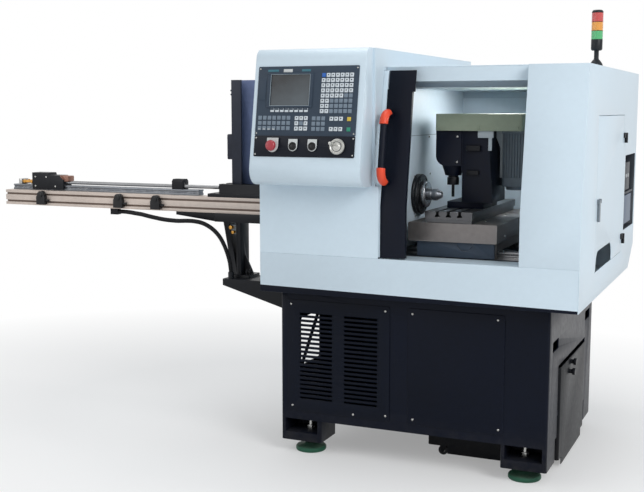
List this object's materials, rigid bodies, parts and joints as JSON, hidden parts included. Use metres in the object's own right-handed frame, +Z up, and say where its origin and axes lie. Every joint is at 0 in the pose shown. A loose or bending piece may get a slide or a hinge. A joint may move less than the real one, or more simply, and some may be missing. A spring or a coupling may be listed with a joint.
{
  "type": "turning lathe",
  "caption": "Enclosed turning lathe on a black base, with sliding door, control panel, milling head on the cross slide, coolant tank, signal tower and a side loader with magazine",
  "frame": {"origin": "on the floor, at the middle of the machine's overall box", "axes": "X along the front and the spindle, loader towards minus X; Y from the front to the back; Z up"},
  "size_m": [2.809, 1.5884, 1.799],
  "materials": {
    "base_black": "satin",
    "pad_green": "satin",
    "cast_grey": "painted",
    "ground_steel": "ground",
    "screw_steel": "polished",
    "black_steel": "black oxide",
    "olive_cover": "satin",
    "motor_grey": "cast",
    "bearing_steel": "polished",
    "motor_dark": "painted",
    "belt_rubber": "matte",
    "sheet_white": "satin",
    "liner_grey": "satin",
    "panel_slate": "matte",
    "screen_dark": "gloss",
    "plate_black": "satin",
    "stop_red": "gloss",
    "button_black": "matte",
    "dial_cream": "satin",
    "window_glass": "clear",
    "grip_black": "matte",
    "cap_orange": "satin",
    "latch_grey": "satin",
    "gear_dark": "matte",
    "tower_black": "satin",
    "lamp_amber": "gloss",
    "tank_black": "satin",
    "wheel_rubber": "matte",
    "rail_aluminium": "anodised",
    "guide_steel": "anodised",
    "magazine_blue": "satin",
    "hose_black": "corrugated"
  },
  "bodies": {
    "machine": {"base_frame": "base_black", "louvre_panel": "base_black", "front_panel": "base_black", "levelling_feet": "pad_green", "bed": "cast_grey", "headstock": "cast_grey", "spindle_bearings": "bearing_steel", "bearing_cap": "black_steel", "main_motor": "motor_dark", "drive_belt": "belt_rubber", "chamber_liner": "liner_grey", "left_cover": "sheet_white", "front_apron": "sheet_white", "right_cover": "sheet_white", "rear_cover": "sheet_white", "header_beam": "liner_grey", "pendant_housing": "sheet_white", "cnc_panel": "panel_slate", "screen": "screen_dark", "button_panel": "plate_black", "switch_gear": "gear_dark", "signal_tower": "tower_black", "lamp_lenses": "lamp_amber", "loader_bracket": "black_steel", "loader_rail": "rail_aluminium", "guide_rail": "guide_steel", "rod_guide": "black_steel", "feed_block": "black_steel", "magazine": "magazine_blue", "sensors": "button_black", "hose": "hose_black"},
    "main_spindle": {"spindle": "ground_steel", "collet_nose": "screw_steel"},
    "drive_pulley": {"motor_pulley": "ground_steel"},
    "carriage": {"saddle": "ground_steel"},
    "carriage_screw": {"z_screw": "screw_steel"},
    "table": {"cross_slide": "ground_steel", "mill_column": "black_steel", "mill_head": "black_steel", "belt_cover": "olive_cover", "mill_motor": "motor_grey"},
    "table_screw": {"x_screw": "screw_steel"},
    "milling_spindle": {"mill_spindle": "screw_steel"},
    "door": {"door_panel": "sheet_white", "door_window": "window_glass", "door_post": "black_steel", "door_handle": "grip_black", "handle_caps": "cap_orange"},
    "side_door": {"cabinet_door": "sheet_white"},
    "latch": {"latch_lever": "latch_grey"},
    "estop": {"estop_button": "stop_red"},
    "start": {"start_button": "button_black"},
    "stop": {"stop_button": "button_black"},
    "dial": {"handwheel": "dial_cream"},
    "tank": {"coolant_tank": "tank_black"},
    "wheel_a": {"tank_wheel_a": "wheel_rubber"},
    "wheel_b": {"tank_wheel_b": "wheel_rubber"},
    "wheel_c": {"tank_wheel_c": "wheel_rubber"},
    "wheel_d": {"tank_wheel_d": "wheel_rubber"},
    "feeder": {"pusher": "black_steel"}
  },
  "joints": [
    {"name": "spindle_turn", "type": "hinge", "parent": "machine", "child": "main_spindle", "pos_m": [0.4655, -0.29179, 1.079], "axis": [1, 0, 0], "continuous": true},
    {"name": "pulley_turn", "type": "hinge", "parent": "machine", "child": "drive_pulley", "pos_m": [0.1975, 0.07421, 0.945], "axis": [1, 0, 0], "continuous": true},
    {"name": "carriage_slide", "type": "slide", "parent": "machine", "child": "carriage", "axis": [1, 0, 0], "range_m": [-0.02, 0.13]},
    {"name": "carriage_screw_turn", "type": "hinge", "parent": "machine", "child": "carriage_screw", "pos_m": [0.9655, -0.14579, 0.805], "axis": [1, 0, 0], "range_deg": [-730, 4690]},
    {"name": "table_slide", "type": "slide", "parent": "carriage", "child": "table", "axis": [0, 1, 0], "range_m": [-0.06, 0.1]},
    {"name": "table_screw_turn", "type": "hinge", "parent": "carriage", "child": "table_screw", "pos_m": [0.8605, -0.14579, 0.948], "axis": [0, 1, 0], "range_deg": [-2170, 3610]},
    {"name": "milling_turn", "type": "hinge", "parent": "table", "child": "milling_spindle", "pos_m": [0.8175, -0.29179, 1.25], "axis": [0, 0, 1], "continuous": true},
    {"name": "door_slide", "type": "slide", "parent": "machine", "child": "door", "axis": [1, 0, 0], "range_m": [0, 0.43]},
    {"name": "side_door_hinge", "type": "hinge", "parent": "machine", "child": "side_door", "pos_m": [1.3975, 0.39821, 1.1], "axis": [0, 0, 1], "range_deg": [0, 115]},
    {"name": "latch_pivot", "type": "hinge", "parent": "side_door", "child": "latch", "pos_m": [1.396, -0.27079, 1.072], "axis": [0, -1, 0], "range_deg": [0, 70]},
    {"name": "estop_push", "type": "slide", "parent": "machine", "child": "estop", "axis": [0, 0.9866, -0.1633], "range_m": [0, 0.006], "stiffness_N_per_m": 1500, "springref_m": -0.002},
    {"name": "start_push", "type": "slide", "parent": "machine", "child": "start", "axis": [0, 0.9866, -0.1633], "range_m": [0, 0.004], "stiffness_N_per_m": 1000, "springref_m": -0.001},
    {"name": "stop_push", "type": "slide", "parent": "machine", "child": "stop", "axis": [0, 0.9866, -0.1633], "range_m": [0, 0.004], "stiffness_N_per_m": 1000, "springref_m": -0.001},
    {"name": "dial_turn", "type": "hinge", "parent": "machine", "child": "dial", "pos_m": [0.5045, -0.74917, 1.28296], "axis": [0, -0.9866, 0.1633], "continuous": true},
    {"name": "tank_slide", "type": "slide", "parent": "machine", "child": "tank", "axis": [1, 0, 0], "range_m": [0, 0.6]},
    {"name": "wheel_a_spin", "type": "hinge", "parent": "tank", "child": "wheel_a", "pos_m": [0.8015, -0.31579, 0.0205], "axis": [0, 1, 0], "continuous": true},
    {"name": "wheel_b_spin", "type": "hinge", "parent": "tank", "child": "wheel_b", "pos_m": [1.2215, -0.31579, 0.0205], "axis": [0, 1, 0], "continuous": true},
    {"name": "wheel_c_spin", "type": "hinge", "parent": "tank", "child": "wheel_c", "pos_m": [0.8015, 0.16421, 0.0205], "axis": [0, 1, 0], "continuous": true},
    {"name": "wheel_d_spin", "type": "hinge", "parent": "tank", "child": "wheel_d", "pos_m": [1.2215, 0.16421, 0.0205], "axis": [0, 1, 0], "continuous": true},
    {"name": "feeder_slide", "type": "slide", "parent": "machine", "child": "feeder", "axis": [1, 0, 0], "range_m": [0, 0.55]}
  ],
  "couplings": [
    {"joint": "pulley_turn", "follows": "spindle_turn", "ratio": 1.3333},
    {"joint": "carriage_screw_turn", "follows": "carriage_slide", "rad_per_m": 628.32},
    {"joint": "table_screw_turn", "follows": "table_slide", "rad_per_m": 628.32}
  ]
}
